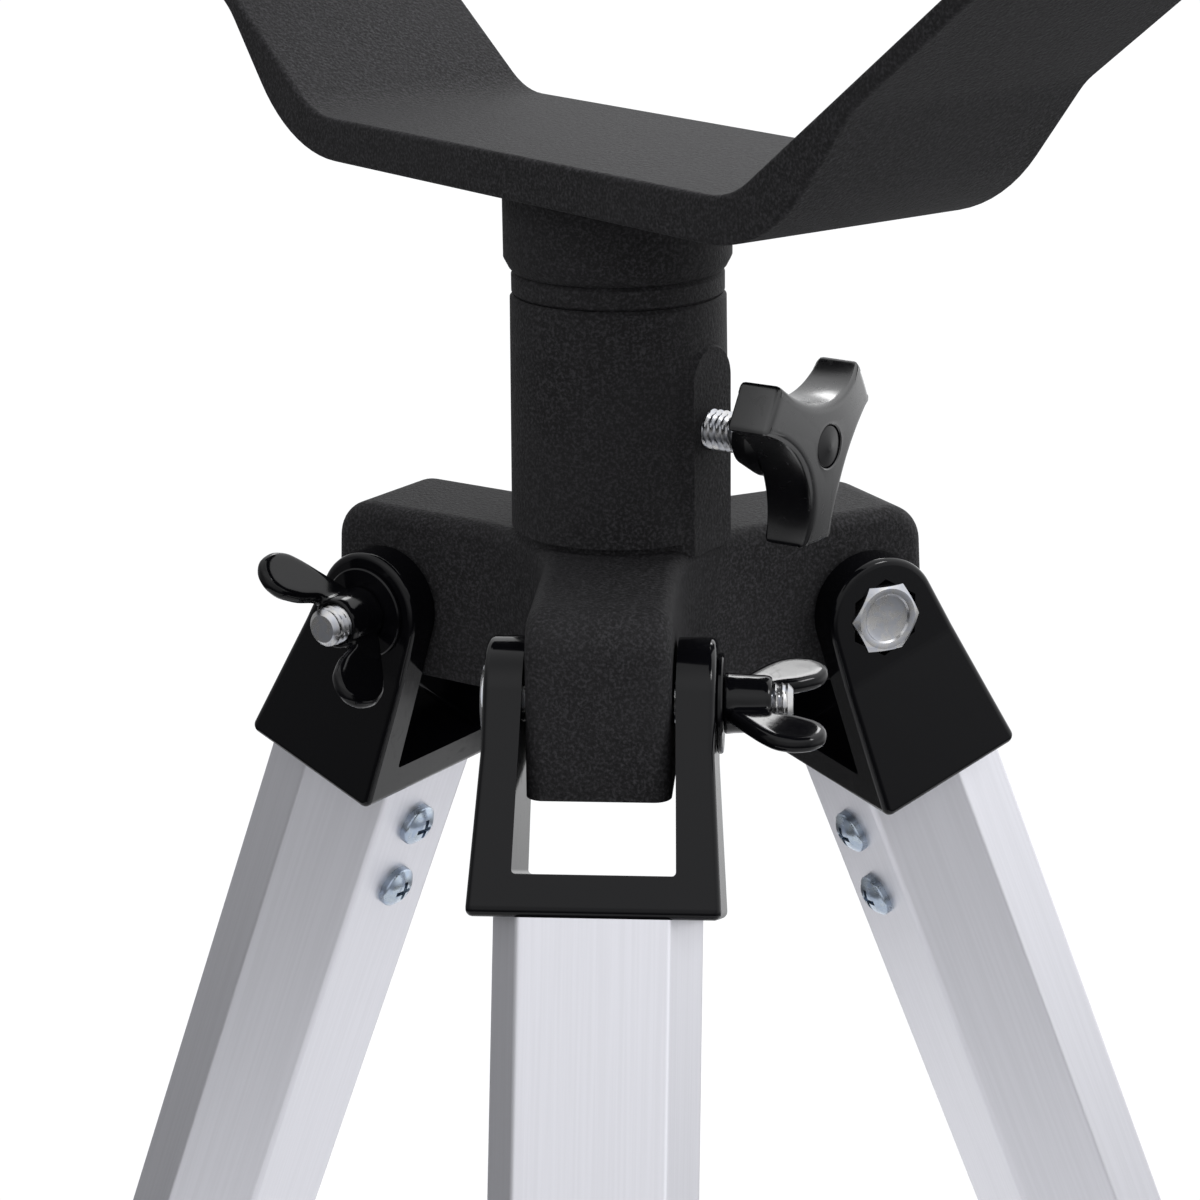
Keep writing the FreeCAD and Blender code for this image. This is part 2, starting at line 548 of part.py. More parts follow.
def leg_bracket():
    """Moulded clevis over a lobe, with a plug that fills the leg tube's top."""
    gap_top, gap_foot = CHEEK_GAP
    outer_top, outer_foot = CHEEK_OUTER
    right = [(outer_foot, -BRACKET_FOOT, 0), (outer_top, -CHEEK_SEAT, 12.0),
             (outer_top, 2 * CHEEK_ROUND, 0), (gap_top, 2 * CHEEK_ROUND, 0), (gap_top, 0, 0),
             (gap_foot, -BRACKET_WEB, WINDOW_CORNER)]
    left = [(-y, z, r) for y, z, r in reversed(right)]
    clevis = plate_yz(right + left, -20, 20)
    # side view: a round eye whose tangents run down to the shoulder
    slopes = []
    for x, sign in ((BRACKET_OUTER, 1), (BRACKET_INNER, -1)):
        touch = math.atan2(-BRACKET_FOOT, x) + sign * math.acos(
            CHEEK_ROUND / math.hypot(x, BRACKET_FOOT))
        slopes.append((math.cos(touch), math.sin(touch)))
    (ax, az), (bx, bz) = slopes
    spread = ax * bz - az * bx
    apex = (CHEEK_ROUND * (bz - az) / spread, CHEEK_ROUND * (ax - bx) / spread, CHEEK_ROUND)
    side = plate_xz([(BRACKET_INNER, -BRACKET_FOOT, BRACKET_CORNER),
                     (BRACKET_OUTER, -BRACKET_FOOT, BRACKET_CORNER), apex], 20)
    clevis = clevis.common(side)
    rims = [e for e in clevis.Edges if on_cheek_rim(e)]
    clevis = clevis.makeFillet(CHEEK_EDGE, rims)
    plug = tube_bar(TUBE_WALL + 0.1, BRACKET_FOOT - 1, BRACKET_FOOT + PLUG_DEPTH, 0.6)
    hinge_hole = place(rod(M6_RADIUS + RUNNING_GAP, -20, 20), pointing(Vector(), Y_AXIS))
    pocket = hexagon(M6_HEAD_FLATS + 2 * POCKET_GAP, 0, HEAD_POCKET + 5)
    pocket = place(pocket, head_spot(CHEEK_OUTER[0] - HEAD_POCKET))
    bracket = clevis.fuse(plug).cut(hinge_hole).cut(pocket)
    for station in SCREW_STATIONS:
        bracket = bracket.cut(place(rod(SCREW_SHANK, 0, 11.5),
                                    pointing(Vector(TUBE_OUTLINE[0][0], 0, -station), X_AXIS)))
    return bracket.removeSplitter()


def on_cheek_rim(edge):
    """True for an edge round the outer face of a cheek."""
    on_face = all(abs(v.Y) > CHEEK_OUTER[0] - 1e-6 for v in edge.Vertexes)
    across_x = isinstance(edge.Curve, Part.Line) and abs(edge.tangentAt(
        edge.FirstParameter).x) > 0.999
    return on_face and not across_x


def leg_upper():
    """Upper leg tube with two screw holes in its inner face."""
    tube = tube_bar(0, BRACKET_FOOT, UPPER_END).cut(
        tube_bar(TUBE_WALL, BRACKET_FOOT - 1, UPPER_END + 1, 0.6))
    for station in SCREW_STATIONS:
        hole = rod(SCREW_SHANK, -2, TUBE_WALL + 1)
        tube = tube.cut(place(hole, pointing(Vector(TUBE_OUTLINE[0][0], 0, -station), X_AXIS)))
    return tube


def bracket_screws():
    """Two pan-head screws with cross recesses that hold the bracket's plug."""
    head = turned([(0, 0, 0), (SCREW_HEAD_RADIUS, 0, 0), (SCREW_HEAD_RADIUS, 1.1, 0.5),
                   (2.0, 2.3, 3.0), (0, 2.45, 0)])
    shank = turned([(0, -10.0, 0), (0.6, -10.0, 0), (SCREW_SHANK, -8.4, 0), (SCREW_SHANK, 0.2, 0),
                    (0, 0.2, 0)])
    slot = plate_xz([(-2.1, 2.6, 0), (-0.9, 0.9, 0), (0.9, 0.9, 0), (2.1, 2.6, 0)], 0.42)
    cross = slot.fuse(place(slot, Placement(Vector(), Rotation(Z_AXIS, 90))))
    screw = head.fuse(shank).cut(cross).removeSplitter()
    spots = [pointing(Vector(TUBE_OUTLINE[0][0], 0, -s), Vector(-1, 0, 0)) for s in SCREW_STATIONS]
    return Part.Compound([solids_only(place(screw, spot)) for spot in spots])


def leg_housing():
    """Moulded clamp housing at the upper tube's end, with the lock boss."""
    shell = tube_bar(-HOUSING_WALL, HOUSING_START, HOUSING_END, 2.5)
    rims = [e for e in shell.Edges
            if all(abs(v.Z + HOUSING_START) < 1e-6 or abs(v.Z + HOUSING_END) < 1e-6
                   for v in e.Vertexes) and abs(e.tangentAt(e.FirstParameter).z) < 1e-6]
    shell = shell.makeFillet(1.0, rims)
    outer_face = TUBE_OUTLINE[-1][0]
    boss = place(rod(LOCK_BOSS_RADIUS, 5, LOCK_BOSS_FACE, 0.8),
                 pointing(Vector(0, 0, -LOCK_STATION), X_AXIS))
    body = shell.fuse(boss)
    body = body.cut(tube_bar(0, HOUSING_START - 1, UPPER_END))
    body = body.cut(tube_bar(LOWER_INSET - SLIDE_GAP, UPPER_END - 1, HOUSING_END + 1))
    axis = pointing(Vector(0, 0, -LOCK_STATION), X_AXIS)
    body = body.cut(place(rod(M5_RADIUS + RUNNING_GAP, 0, LOCK_BOSS_FACE + 2), axis))
    nut_seat = hexagon(LOCK_NUT_FLATS, 0, outer_face + LOCK_NUT_THICKNESS - 1.0)
    return body.cut(place(nut_seat, axis)).removeSplitter()


def lock_nut():
    """Captive nut behind the housing's wall."""
    outer_face = TUBE_OUTLINE[-1][0]
    blank = hexagon(LOCK_NUT_FLATS, outer_face - 1.0, outer_face + LOCK_NUT_THICKNESS - 1.0)
    blank = blank.cut(rod(M5_RADIUS + RUNNING_GAP, 0, 30))
    return place(blank, pointing(Vector(0, 0, -LOCK_STATION), X_AXIS))


def leg_lower():
    """Lower leg tube that slides in the upper one."""
    return tube_bar(LOWER_INSET, LOWER_START, LOWER_END).cut(
        tube_bar(LOWER_INSET + LOWER_WALL, LOWER_START - 1, LOWER_END + 1, 0.5))


def leg_guide():
    """Slider plugged into the lower tube's top, running on the upper tube's wall."""
    cap = tube_bar(TUBE_WALL + 0.15, LOWER_START - GUIDE_HEAD, LOWER_START, 0.8)
    plug = tube_bar(LOWER_INSET + LOWER_WALL + RUNNING_GAP, LOWER_START - 1,
                    LOWER_START + GUIDE_PLUG, 0.5)
    return cap.fuse(plug).removeSplitter()


def rubber_foot(frame):
    """Rubber shoe on the lower tube, its sole cut level with the floor."""
    top = tube_corners(-FOOT_SKIRT[0], 3.0)
    sole = tube_corners(-FOOT_SKIRT[1], 4.0)
    body = Part.makeLoft([rounded_wire(top, lambda p: Vector(p.x, p.y, -FOOT_START)),
                          rounded_wire(sole, lambda p: Vector(p.x, p.y, -FOOT_REACH - 10))],
                         True, True)
    body = body.cut(tube_bar(LOWER_INSET, FOOT_START - 1, LOWER_END))
    above_floor = Part.makeBox(1200, 1200, 400, Vector(-600, -600, 0))
    return place(body, frame).common(above_floor)


def leg_lock_pieces(number):
    """Knob and stud that press on the lower leg, in the leg frame."""
    axis = pointing(Vector(0, 0, -LOCK_STATION), X_AXIS)
    press_face = TUBE_OUTLINE[-1][0] - LOWER_INSET + SLIDE_GAP
    stud = rod(M5_RADIUS, press_face, LEG_KNOB_FOOT + BORE_SHARE * LEG_KNOB["height"])
    knob_spot = axis.multiply(turned_up(LEG_KNOB_FOOT, LEG_KNOB_TURN))
    return {f"leg_lock_knob_{number}": place(star_knob(**LEG_KNOB), knob_spot),
            f"leg_lock_stud_{number}": place(stud, axis)}


# --- the whole mount ----------------------------------------------------------

def build():
    nodes = {
        "tripod_head": tripod_head(),
        "upper_bush": on_head(ring(BUSH_RADIUS, SPINDLE_RADIUS + RUNNING_GAP, *UPPER_BUSH)),
        "lower_bush": on_head(ring(BUSH_RADIUS, SPINDLE_RADIUS + RUNNING_GAP, *LOWER_BUSH)),
        "friction_ring": on_head(ring(RING_RADIUS, SPINDLE_RADIUS + RUNNING_GAP, COLUMN_TOP,
                                      RING_TOP, EDGE_BREAK)),
        "fork_yoke": fork_yoke(),
        "azimuth_spindle": azimuth_spindle(),
        "retaining_washer": on_head(ring(RETAINER_RADIUS, M5_RADIUS, RETAINER_FOOT,
                                         SPINDLE_FOOT, 0.2)),
        "retaining_screw": retaining_screw(),
    }
    nodes.update(azimuth_lock_pieces())
    nodes.update(altitude_pieces(1, "right"))
    nodes.update(altitude_pieces(-1, "left"))
    for number, azimuth in enumerate(LEG_AZIMUTHS, 1):
        hinge, leg = hinge_frame(azimuth), leg_frame(azimuth)
        nodes[f"wing_nut_{number}"] = place(wing_nut(NUT_TURNS[number - 1]), hinge)
        for name, maker in (("pivot_bolt", pivot_bolt), ("pivot_washer", pivot_washer),
                            ("leg_bracket", leg_bracket), ("leg_upper", leg_upper),
                            ("bracket_screws", bracket_screws), ("leg_housing", leg_housing),
                            ("lock_nut", lock_nut), ("leg_lower", leg_lower),
                            ("leg_guide", leg_guide)):
            nodes[f"{name}_{number}"] = place(maker(), leg)
        nodes[f"leg_foot_{number}"] = rubber_foot(leg)
        for name, shape in leg_lock_pieces(number).items():
            nodes[name] = place(shape, leg)
    return nodes


os.makedirs("parts", exist_ok=True)
for node, shape in build().items():
    shape = solids_only(shape)
    if not shape.isValid() or not shape.Solids:
        raise ValueError(f"{node} isn't a valid solid")
    shape.exportStep(f"parts/{node}.step")
    print(node, len(shape.Solids), round(shape.Volume, 1))
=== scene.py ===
import cmath
import json
import math

import bpy
from bpy.props import FloatProperty, FloatVectorProperty, IntProperty, PointerProperty
from mathutils import Matrix, Vector


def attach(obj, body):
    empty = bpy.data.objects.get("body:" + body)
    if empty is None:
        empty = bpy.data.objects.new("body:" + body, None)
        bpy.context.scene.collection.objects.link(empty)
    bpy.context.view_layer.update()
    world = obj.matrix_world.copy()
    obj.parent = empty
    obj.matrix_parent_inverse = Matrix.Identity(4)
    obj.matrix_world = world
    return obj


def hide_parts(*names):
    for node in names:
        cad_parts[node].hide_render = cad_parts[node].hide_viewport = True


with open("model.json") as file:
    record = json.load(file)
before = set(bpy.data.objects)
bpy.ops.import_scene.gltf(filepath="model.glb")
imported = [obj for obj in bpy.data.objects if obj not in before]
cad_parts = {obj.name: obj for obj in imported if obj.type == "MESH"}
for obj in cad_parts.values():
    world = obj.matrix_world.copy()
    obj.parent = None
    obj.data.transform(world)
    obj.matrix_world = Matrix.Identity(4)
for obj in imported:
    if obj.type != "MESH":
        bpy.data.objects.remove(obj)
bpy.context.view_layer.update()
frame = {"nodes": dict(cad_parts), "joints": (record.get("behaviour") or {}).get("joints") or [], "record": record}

bl_info = {
    "name": "Alt Azimuth Mount Looks",
    "version": (1, 0, 0),
    "blender": (4, 5, 0),
    "location": "3D View > Sidebar > Mount",
    "description": "Paint, mouldings, threads and fasteners for a fork mount on a folding tripod",
    "category": "Object",
}

JOINTS = {joint["name"]: joint for joint in frame["joints"]}
NODES = frame["nodes"]
LEGS = (1, 2, 3)
MM = 0.001
MADE = {}                      # materials by finish name
RING_COUNT = 96                # points round a turned or lofted ring

# sizes of the remade pieces in millimetres, and shares of a knob's reach or height
TUBE_OUTLINE = ((-11.0, 10.5), (3.0, 14.5), (12.6, 10.3))   # (outwards, sideways), one half
# each knob's hub and cap radius
KNOBS = {"azimuth_lock": (5.5, 3.05), "altitude": (8.0, 5.0), "leg_lock": (4.8, 2.6)}
ARM_TIP, ARM_WAIST = 0.26, 0.43    # half width of a knob's arm and its waist, to its reach
ARM_FOOT, CROWN = 0.385, 0.12      # where a knob's arms begin and its face's fall, to its height
KNOB_RIM = ((0.0, 0.95), (0.12, 0.45), (0.45, 0.12), (0.9, 0.0))   # (inwards, off the face)
CAP_SEAT = 1.4                     # width of the rim round a knob's face
HEAD_FLATS, HEAD_HEIGHT = 10.0, 4.0
BOLT_RADIUS, BOLT_PITCH, BOLT_THREAD = 3.0, 1.0, 14.0
LOCK_PITCH = 1.0
ALTITUDE_RADIUS, ALTITUDE_PITCH, ALTITUDE_THREAD = 4.0, 1.25, 15.6
FOOT_START, FOOT_END = 632.0, 652.0     # along the leg from its hinge

# wing nut: hub as (radius, height), a wing's outline as (outwards, height), and the wing's
# rounded edge as (inwards, off its middle)
NUT_HUB = ((0.4, 0.0), (4.1, 0.0), (4.3, 0.25), (4.15, 1.2), (3.95, 5.9), (3.75, 6.5),
           (3.45, 6.75), (3.2, 6.6), (3.1, 5.2), (0.4, 5.2))
WING = ((2.0, 0.5), (4.8, 0.5), (11.0, 4.9), (13.2, 6.9), (14.15, 9.6), (13.6, 12.4),
        (11.8, 14.1), (9.4, 14.4), (7.1, 13.3), (5.2, 10.2), (4.2, 6.6), (2.0, 6.2))
WING_EDGE = ((1.1, -1.15), (0.55, -1.05), (0.18, -0.7), (0.0, -0.15),
             (0.0, 0.15), (0.18, 0.7), (0.55, 1.05), (1.1, 1.15))

# lights: place from the head in metres, side in metres, share of the key light's power
LIGHTS = {"key_light": ((0.9, 0.5, 1.2), 0.35, 1.0), "rim_light": ((-0.9, 0.9, 0.9), 0.35, 0.4)}
CAMERA_SPOT = (0.3578, -0.2703, 0.1407)         # from the azimuth axis, at the hinges' height
CAMERA_TURNS = (("Z", 53.34), ("X", 73.01), ("Z", -0.74))


# --- places read from the frame -----------------------------------------------

ANY_WAY = Vector((0.3, 0.5, 0.81))      # along no joint's axis
RIM_SHARE = 0.985                       # points this near a node's reach lie on its arms' tips


def joint_axis(name):
    """Point on a joint's axis, and the axis as a unit vector."""
    joint = JOINTS[name]
    return Vector(joint.get("pos_m", (0, 0, 0))), Vector(joint["axis"]).normalized()


def axes(origin, across, along):
    """Frame at an origin with its z axis along one vector and its x axis nearest another."""
    z = along.normalized()
    x = (across - z * across.dot(z)).normalized()
    y = z.cross(x)
    return Matrix.Translation(origin) @ Matrix((x, y, z)).transposed().to_4x4()


def leg_frame(number):
    """Origin on the leg's hinge, x outwards across the leg, y along the hinge, z up the leg."""
    origin, hinge = joint_axis(f"leg_fold_{number}")
    up_leg = -Vector(JOINTS[f"leg_extend_{number}"]["axis"]).normalized()
    return axes(origin, hinge.cross(up_leg), up_leg)


def seat(node, joint, fold):
    """Frame at a node's foot with x towards one of its equal arms, its height and its reach."""
    origin, axis = joint_axis(joint)
    loose = axes(origin, ANY_WAY, axis)
    into = loose.inverted()
    points = [into @ v.co for v in NODES[node].data.vertices]
    low, high = min(p.z for p in points), max(p.z for p in points)
    reach = max(math.hypot(p.x, p.y) for p in points)
    rim = [complex(p.x, p.y) for p in points if math.hypot(p.x, p.y) > RIM_SHARE * reach]
    turn = cmath.phase(sum((p / abs(p)) ** fold for p in rim)) / fold
    spot = loose @ Matrix.Translation((0, 0, low)) @ Matrix.Rotation(turn, 4, "Z")
    return spot, (high - low) / MM, reach / MM


# --- mesh building, in millimetres --------------------------------------------

class Skin:
    """Vertices and faces of one piece, made of rings that are joined one to the next."""

    def __init__(self):
        self.points = []
        self.faces = []

    def loft(self, loops):
        """Skin a stack of equal rings and close both ends with a fan."""
        rings = []
        for loop in loops:
            start = len(self.points)
            self.points.extend(Vector(p) for p in loop)
            rings.append(range(start, len(self.points)))
        for low, high in zip(rings, rings[1:]):
            for i in range(len(low)):
                j = (i + 1) % len(low)
                self.faces.append((low[i], low[j], high[j], high[i]))
        for ring, flip in ((rings[0], True), (rings[-1], False)):
            middle = sum((self.points[i] for i in ring), Vector()) / len(ring)
            self.points.append(middle)
            tip = len(self.points) - 1
            for i in range(len(ring)):
                a, b = ring[i], ring[(i + 1) % len(ring)]
                self.faces.append((b, a, tip) if flip else (a, b, tip))
        return self


def turns(count=RING_COUNT):
    return [2 * math.pi * i / count for i in range(count)]


def ring_at(radii, height, angles=None):
    """Ring of points from one radius or one for each angle, at one height or one for each."""
    angles = angles or turns()
    radii = radii if hasattr(radii, "__len__") else [radii] * len(angles)
    heights = height if hasattr(height, "__len__") else [height] * len(angles)
    return [(r * math.cos(a), r * math.sin(a), z) for r, a, z in zip(radii, angles, heights)]


def divided(corners, step):
    """Closed outline with points every step along its sides."""
    loop = []
    for i, (x, y) in enumerate(corners):
        nx, ny = corners[(i + 1) % len(corners)]
        count = max(1, round(math.hypot(nx - x, ny - y) / step))
        loop.extend((x + (nx - x) * k / count, y + (ny - y) * k / count) for k in range(count))
    return loop


def softened(loop, passes):
    """Closed outline with its corners eased by averaging neighbours."""
    for _ in range(passes):
        loop = [((loop[i - 1][0] + 2 * x + loop[(i + 1) % len(loop)][0]) / 4,
                 (loop[i - 1][1] + 2 * y + loop[(i + 1) % len(loop)][1]) / 4)
                for i, (x, y) in enumerate(loop)]
    return loop


def inset(loop, depth):
    """Closed anticlockwise outline moved inwards along its own normals."""
    moved = []
    for i, (x, y) in enumerate(loop):
        ax, ay = loop[i - 1]
        bx, by = loop[(i + 1) % len(loop)]
        length = math.hypot(bx - ax, by - ay)
        moved.append((x - depth * (by - ay) / length, y + depth * (bx - ax) / length))
    return moved


def at_height(loop, height):
    return [(x, y, height) for x, y in loop]


def thread_rings(radius, pitch, low, high, depth):
    """Rings of a right-hand screw thread that fades out at both ends."""
    rows = max(8, round((high - low) / pitch * 8))
    rings = []
    for row in range(rows + 1):
        z = low + (high - low) * row / rows
        fade = min(1.0, (z - low) / (0.8 * pitch), (high - z) / (0.8 * pitch))
        radii = []
        for turn in turns():
            phase = (z / pitch - turn / (2 * math.pi)) % 1.0
            cut = depth * (abs(2 * phase - 1) * fade + 0.25 * (1 - fade))
            radii.append(radius - cut)
        rings.append(ring_at(radii, z))
    return rings


def star_outline(reach):
    """Three flat-ended arms joined by hollow arcs, with eased corners."""
    near, start = Vector((reach, -ARM_TIP * reach)), Vector((reach, ARM_TIP * reach))
    end = Matrix.Rotation(math.radians(120), 2) @ near
    middle = Matrix.Rotation(math.radians(60), 2) @ Vector((ARM_WAIST * reach, 0))
    arm_points = [near, start, *arc_points(start, middle, end, 18)[1:-1]]
    corners = []
    for arm in range(3):
        turn = Matrix.Rotation(math.radians(120 * arm), 2)
        corners.extend(tuple(turn @ p) for p in arm_points)
    return softened(divided(corners, 0.35), 3)


def arc_points(start, middle, end, count):
    """Points on the circle through three points, from the first to the last."""
    d = 2 * (start.x * (middle.y - end.y) + middle.x * (end.y - start.y)
             + end.x * (start.y - middle.y))
    squares = [p.length_squared for p in (start, middle, end)]
    centre = Vector((
        (squares[0] * (middle.y - end.y) + squares[1] * (end.y - start.y)
         + squares[2] * (start.y - middle.y)) / d,
        (squares[0] * (end.x - middle.x) + squares[1] * (start.x - end.x)
         + squares[2] * (middle.x - start.x)) / d))
    first = start - centre
    sweep = first.angle_signed(end - centre)
    half = first.angle_signed(middle - centre)
    if sweep * half < 0:
        sweep -= math.copysign(2 * math.pi, sweep)
    return [centre + Matrix.Rotation(-sweep * i / (count - 1), 2) @ first for i in range(count)]


def knob_rings(reach, height, hub_radius, cap_radius):
    """Star knob from its hub foot to the seat of its cap."""
    outline = star_outline(reach)
    angles = [math.atan2(y, x) for x, y in outline]
    arm_foot = ARM_FOOT * height

    def crown(x, y):
        share = min(1.0, math.hypot(x, y) / reach)
        return height * (1 - CROWN * share ** 2.4)

    def star(depth, drop):
        return [(x, y, crown(x, y) - drop) for x, y in inset(outline, depth)]

    rings = [ring_at(radius, z, angles) for radius, z in (
        (0.70 * hub_radius, 0.0), (0.78 * hub_radius, 0.1), (0.97 * hub_radius, 0.2 * height),
        (hub_radius, 0.24 * height), (hub_radius, arm_foot - 0.4), (hub_radius + 0.4, arm_foot))]
    rings += [at_height(inset(outline, depth), arm_foot + lift)
              for depth, lift in ((1.6, 0.0), *reversed(KNOB_RIM))]
    rings += [star(depth, drop) for depth, drop in (*KNOB_RIM, (CAP_SEAT, 0.0))]
    rim = inset(outline, CAP_SEAT)
    near = cap_radius + 0.35
    for step in (0.2, 0.4, 0.6, 0.8, 0.95):
        loop = []
        for (x, y), turn in zip(rim, angles):
            px = x + (near * math.cos(turn) - x) * step
            py = y + (near * math.sin(turn) - y) * step
            loop.append((px, py, crown(px, py)))
        rings.append(loop)
    rings += [ring_at(cap_radius + 0.30, height - 0.02, angles),
              ring_at(cap_radius + 0.10, height - 0.16, angles),
              ring_at(cap_radius + 0.06, height - 1.0, angles)]
    return rings


def bolt_rings(length):
    """Hex-head bolt from its face at zero to its threaded tip."""
    half = HEAD_FLATS / 2
    reach = [half / math.cos((turn + math.pi / 6) % (math.pi / 3) - math.pi / 6)
             for turn in turns()]
    crown = 0.94 * half
    chamfer = [(r - crown) * math.tan(math.radians(30)) for r in reach]
    rings = [ring_at(radius, z) for radius, z in ((0.9, 0.42), (3.0, 0.40), (3.55, 0.30),
                                                  (3.8, 0.04), (3.95, 0.0), (crown, 0.0))]
    rings += [ring_at(reach, chamfer), ring_at(reach, HEAD_HEIGHT - 0.1),
              ring_at([r - 0.15 for r in reach], HEAD_HEIGHT),
              ring_at(BOLT_RADIUS + 0.3, HEAD_HEIGHT), ring_at(BOLT_RADIUS, HEAD_HEIGHT + 0.3)]
    rings += thread_rings(BOLT_RADIUS, BOLT_PITCH, length - BOLT_THREAD, length - 0.7,
                          thread_depth())
    rings += [ring_at(radius, z) for radius, z in ((BOLT_RADIUS - 0.55, length - 0.25),
                                                   (BOLT_RADIUS - 0.9, length))]
    return rings


def thread_depth():
    return bpy.context.scene.mount_sizes.thread_depth


def wing_solids():
    """Hub and two rounded wings of a wing nut, as separate rings to be melted together."""
    hub = [ring_at(radius, height, turns(72)) for radius, height in NUT_HUB]
    outline = softened(divided(WING, 0.4), 6)
    wings = [[[(side * x, side * y, z) for x, z in inset(outline, depth)]
              for depth, y in WING_EDGE] for side in (1, -1)]
    return [hub, *wings]


def leg_outline(grow=0.0):
    """The leg's six-sided outline with eased corners, grown by an amount."""
    half = list(TUBE_OUTLINE)
    corners = [(x, -y) for x, y in half] + [(x, y) for x, y in reversed(half)]
    return inset(softened(divided(corners, 0.8), 3), -grow)


def make_mesh(name, skins):
    mesh = bpy.data.meshes.new(name)
    points, faces = [], []
    for skin in skins:
        start = len(points)
        points += [p * MM for p in skin.points]
        faces += [tuple(start + i for i in face) for face in skin.faces]
    mesh.from_pydata(points, [], faces)
    mesh.update()
    return mesh


def make_piece(name, mesh, place, slot, body, replaces=(), angle=38, surface=None):
    """Object from a mesh: placed, finished, shaded, and tied to its body and CAD nodes."""
    mesh.materials.clear()
    mesh.materials.append(finish(surface or slot))
    mesh.shade_smooth()
    mesh.set_sharp_from_angle(angle=math.radians(angle))
    piece = bpy.data.objects.new(name, mesh)
    bpy.context.scene.collection.objects.link(piece)
    piece.matrix_world = place
    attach(piece, body)
    if replaces:
        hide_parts(*replaces)


def melted(name, mesh, voxel_mm, passes):
    """The mesh remeshed into one skin and smoothed, so that its parts flow together."""
    helper = bpy.data.objects.new(name, mesh)
    bpy.context.scene.collection.objects.link(helper)
    remesh = helper.modifiers.new("melt", "REMESH")
    remesh.mode = "VOXEL"
    remesh.voxel_size = voxel_mm * MM
    smooth = helper.modifiers.new("smooth", "SMOOTH")
    smooth.iterations = passes
    result = bpy.data.meshes.new_from_object(
        helper.evaluated_get(bpy.context.evaluated_depsgraph_get()))
    bpy.data.objects.remove(helper)
    return result


# --- shader building ----------------------------------------------------------

class Number:
    """A number socket; arithmetic on it adds Math nodes."""

    def __init__(self, shader, socket):
        self.shader = shader
        self.socket = socket

    def __add__(self, other):
        return self.shader.maths("ADD", self, other)

    def __sub__(self, other):
        return self.shader.maths("SUBTRACT", self, other)

    def __rsub__(self, other):
        return self.shader.maths("SUBTRACT", other, self)

    def __mul__(self, other):
        return self.shader.maths("MULTIPLY", self, other)

    def __pow__(self, other):
        return self.shader.maths("POWER", self, other)

    __radd__ = __add__
    __rmul__ = __mul__


class Shader:
    """One material's node tree with a Principled surface."""

    def __init__(self, name, tree=None):
        if tree:
            self.tree = tree
            return
        self.material = bpy.data.materials.new(name)
        self.material.use_nodes = True
        self.tree = self.material.node_tree
        self.surface = self.tree.nodes["Principled BSDF"]
        self.here = self.node("ShaderNodeTexCoord").outputs["Object"]

    def node(self, kind, settings=None, sockets=None):
        """Any node: its settings first, then values or links for its sockets."""
        made = self.tree.nodes.new(kind)
        for key, value in (settings or {}).items():
            setattr(made, key, value)
        self.feed(made, sockets or {})
        return made

    def feed(self, node, sockets):
        """Set or link a node's sockets."""
        for key, value in sockets.items():
            socket = node.inputs[key]
            value = value.socket if isinstance(value, Number) else value
            if isinstance(value, bpy.types.NodeSocket):
                self.tree.links.new(value, socket)
            elif socket.type == "RGBA" and len(value) == 3:
                socket.default_value = (*value, 1)
            else:
                socket.default_value = value

    def maths(self, operation, first, second):
        made = self.node("ShaderNodeMath", {"operation": operation}, {0: first, 1: second})
        return Number(self, made.outputs[0])

    def dot(self, vector, direction):
        """How far a vector points along a fixed direction."""
        made = self.node("ShaderNodeVectorMath", {"operation": "DOT_PRODUCT"},
                         {0: vector, 1: tuple(direction)})
        return Number(self, made.outputs["Value"])

    def stretched(self, factors):
        """Object coordinates scaled unevenly, for a grain that runs one way."""
        return self.node("ShaderNodeMapping", {"vector_type": "POINT"},
                         {"Vector": self.here, "Scale": factors}).outputs[0]

    def noise(self, size_mm, detail=3.0, roughness=0.55, distortion=0.0, vector=None):
        """Noise whose features are about size_mm across, from 0 to 1."""
        made = self.node("ShaderNodeTexNoise", None,
                         {"Vector": vector or self.here, "Scale": 1 / (size_mm * MM),
                          "Detail": detail, "Roughness": roughness, "Distortion": distortion})
        return Number(self, made.outputs["Fac"])

    def cells(self, size_mm, smooth=1.0):
        """Distance to the nearest of many scattered grains."""
        made = self.node("ShaderNodeTexVoronoi", {"feature": "SMOOTH_F1"},
                         {"Vector": self.here, "Scale": 1 / (size_mm * MM), "Smoothness": smooth})
        return Number(self, made.outputs["Distance"])

    def ramp(self, value, low, high, low_out=0.0, high_out=1.0):
        """Value mapped smoothly from one range to another."""
        made = self.node("ShaderNodeMapRange", {"interpolation_type": "SMOOTHSTEP"},
                         {"Value": value, "From Min": low, "From Max": high, "To Min": low_out,
                          "To Max": high_out})
        return Number(self, made.outputs["Result"])

    def blend(self, factor, first, second):
        """Colour between two colours."""
        made = self.node("ShaderNodeMix", {"data_type": "RGBA"}, {0: factor, 6: first, 7: second})
        return made.outputs[2]

    def bump(self, height, depth_mm, strength=1.0):
        """Bump from a 0 to 1 height into the surface's normal."""
        made = self.node("ShaderNodeBump", None,
                         {"Height": height, "Distance": depth_mm * MM, "Strength": strength})
        self.feed(self.surface, {"Normal": made.outputs["Normal"]})

    def finish(self, **values):
        """Constants and links on the surface's own sockets."""
        self.feed(self.surface, {key.replace("_", " "): value for key, value in values.items()})
        return self.material


def scaled(colour, factor):
    return tuple(min(1.0, channel * factor) for channel in colour)


